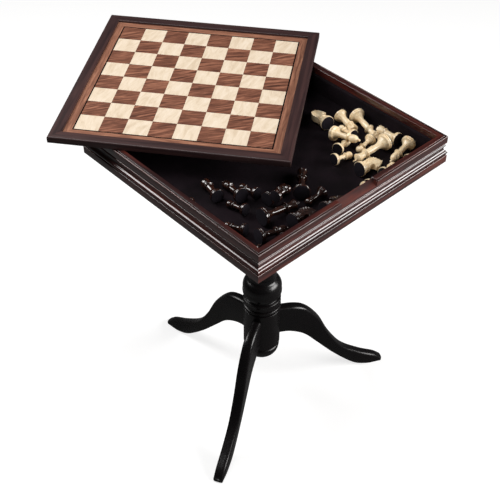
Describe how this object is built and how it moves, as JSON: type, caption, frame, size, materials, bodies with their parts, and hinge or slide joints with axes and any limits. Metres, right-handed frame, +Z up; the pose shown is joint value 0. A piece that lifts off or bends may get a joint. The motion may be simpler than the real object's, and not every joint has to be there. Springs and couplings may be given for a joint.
{
  "type": "gaming table",
  "caption": "Pedestal gaming table: a moulded box with a felt-lined tray of chessmen, a drop-in chess lid lying askew on its rim, and a turned column on three legs.",
  "frame": {"origin": "centre of the whole object's box in plan, at floor level, with the lid lying askew as it rests", "axes": "+Z up; +X and +Y along the box's sides, with the finger notch on the -Y side"},
  "size_m": [0.519, 0.6274, 0.6013],
  "materials": {
    "mahogany": "satin lacquer, dark red-brown",
    "espresso": "satin lacquer, near-black brown",
    "walnut": "satin veneer",
    "chequer_veneer": "satin veneer, maple and walnut squares",
    "board": "plain board",
    "felt": "short black-violet felt",
    "ebonised": "semi-gloss black lacquer",
    "steel": "zinc-plated",
    "boxwood": "polished, pale",
    "stained_boxwood": "polished, dark brown"
  },
  "bodies": {
    "table": {"column": "ebonised", "leg_bolt_front": "steel", "leg_bolt_left": "steel", "leg_bolt_right": "steel", "leg_front": "ebonised", "leg_left": "ebonised", "leg_right": "ebonised", "liner_back": "felt", "liner_front": "felt", "liner_left": "felt", "liner_right": "felt", "rail_back": "mahogany", "rail_front": "mahogany", "rail_left": "mahogany", "rail_right": "mahogany", "top_plate": "ebonised", "tray_bottom": "board", "tray_felt": "felt"},
    "lid": {"border_back": "walnut", "border_front": "walnut", "border_left": "walnut", "border_right": "walnut", "chess_field": "chequer_veneer", "lid_frame_back": "espresso", "lid_frame_front": "espresso", "lid_frame_left": "espresso", "lid_frame_right": "espresso", "lid_panel": "board"},
    "light_men": {"light_bishop_1": "boxwood", "light_bishop_2": "boxwood", "light_king": "boxwood", "light_knight_1": "boxwood", "light_knight_2": "boxwood", "light_pawn_1": "boxwood", "light_pawn_2": "boxwood", "light_pawn_3": "boxwood", "light_pawn_4": "boxwood", "light_pawn_5": "boxwood", "light_pawn_6": "boxwood", "light_pawn_7": "boxwood", "light_pawn_8": "boxwood", "light_queen": "boxwood", "light_rook_1": "boxwood", "light_rook_2": "boxwood"},
    "dark_men": {"dark_bishop_1": "stained_boxwood", "dark_bishop_2": "stained_boxwood", "dark_king": "stained_boxwood", "dark_knight_1": "stained_boxwood", "dark_knight_2": "stained_boxwood", "dark_pawn_1": "stained_boxwood", "dark_pawn_2": "stained_boxwood", "dark_pawn_3": "stained_boxwood", "dark_pawn_4": "stained_boxwood", "dark_pawn_5": "stained_boxwood", "dark_pawn_6": "stained_boxwood", "dark_pawn_7": "stained_boxwood", "dark_pawn_8": "stained_boxwood", "dark_queen": "stained_boxwood", "dark_rook_1": "stained_boxwood", "dark_rook_2": "stained_boxwood"}
  },
  "joints": [
    {"name": "lid_lift", "type": "slide", "parent": "table", "child": "lid", "axis": [0, 0, 1], "range_m": [0, 0.25]},
    {"name": "light_men_lift", "type": "slide", "parent": "table", "child": "light_men", "axis": [0, 0, 1], "range_m": [0, 0.15]},
    {"name": "dark_men_lift", "type": "slide", "parent": "table", "child": "dark_men", "axis": [0, 0, 1], "range_m": [0, 0.15]}
  ]
}
